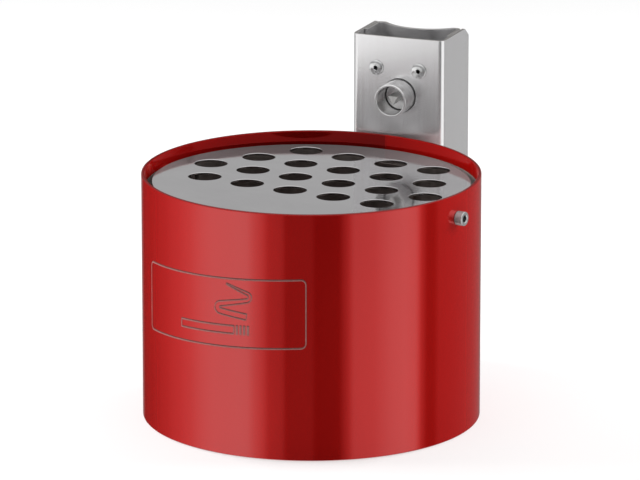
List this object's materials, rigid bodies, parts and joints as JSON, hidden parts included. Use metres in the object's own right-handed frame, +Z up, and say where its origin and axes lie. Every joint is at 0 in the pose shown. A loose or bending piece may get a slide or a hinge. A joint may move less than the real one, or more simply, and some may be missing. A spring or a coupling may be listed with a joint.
{
  "type": "ashtray bin",
  "caption": "Post or wall ashtray bin: lacquered steel drum with a tilting perforated stubbing plate, hung to swivel and lift off a lockable stainless bracket.",
  "frame": {"origin": "centre of the drum's flat underside", "axes": "+Z up along the drum's axis, +Y towards the post or wall, square to the bracket; +X to the right, seen from the front"},
  "size_m": [0.2124, 0.2501, 0.211],
  "materials": {
    "red_lacquer": "glossy translucent lacquer over steel sheet",
    "brushed_stainless": "fine vertical brushing",
    "polished_stainless": "polished sheet",
    "bright_steel": "turned and bright",
    "fastener_steel": "plain stainless fasteners",
    "nylon": "natural nylon"
  },
  "bodies": {
    "bracket": {"front_cover": "brushed_stainless", "post_seat": "brushed_stainless", "pintle_shelf_upper": "brushed_stainless", "pintle_shelf_lower": "brushed_stainless", "pintle_pin_upper": "bright_steel", "pintle_pin_lower": "bright_steel", "lock_cage": "brushed_stainless", "bolt_guide": "bright_steel", "plug_plate": "brushed_stainless", "rivet_right": "fastener_steel", "rivet_left": "fastener_steel"},
    "bolt": {"lock_bolt": "bright_steel"},
    "plug": {"lock_plug": "bright_steel", "cam_pin": "bright_steel", "plug_retaining_ring": "fastener_steel"},
    "bushes": {"bush_upper": "nylon", "bush_lower": "nylon"},
    "drum": {"bin_wall": "red_lacquer", "bin_base": "red_lacquer", "hanger_plate": "red_lacquer", "sieve_stop": "red_lacquer", "eye_lug_upper": "brushed_stainless", "eye_lug_lower": "brushed_stainless", "pivot_screw_right": "fastener_steel", "pivot_screw_left": "fastener_steel", "pivot_spacer_right": "nylon", "pivot_spacer_left": "nylon", "pivot_nut_right": "fastener_steel", "pivot_nut_left": "fastener_steel"},
    "sieve": {"sieve_plate": "polished_stainless", "pivot_ear_right": "brushed_stainless", "pivot_ear_left": "brushed_stainless"}
  },
  "joints": [
    {"name": "drum_swivel", "type": "hinge", "parent": "bracket", "child": "bushes", "pos_m": [0.01466, 0.11608, 0.118], "axis": [0, 0, 1], "range_deg": [-5.3, 19.7]},
    {"name": "drum_lift", "type": "slide", "parent": "bushes", "child": "drum", "axis": [0, 0, 1], "range_m": [0, 0.018]},
    {"name": "sieve_tilt", "type": "hinge", "parent": "drum", "child": "sieve", "pos_m": [0, 0, 0.1355], "axis": [-0.9851, 0.1719, 0], "range_deg": [0, 110]},
    {"name": "bolt_slide", "type": "slide", "parent": "bracket", "child": "bolt", "axis": [0, 1, 0], "range_m": [0, 0.016]},
    {"name": "plug_turn", "type": "hinge", "parent": "bracket", "child": "plug", "pos_m": [0.01586, 0.11608, 0.1746], "axis": [0, 1, 0], "range_deg": [0, 90]}
  ],
  "couplings": [
    {"joint": "bolt_slide", "follows": "drum_lift", "ratio": 0.8888},
    {"joint": "plug_turn", "follows": "drum_lift", "rad_per_m": 87.26}
  ]
}
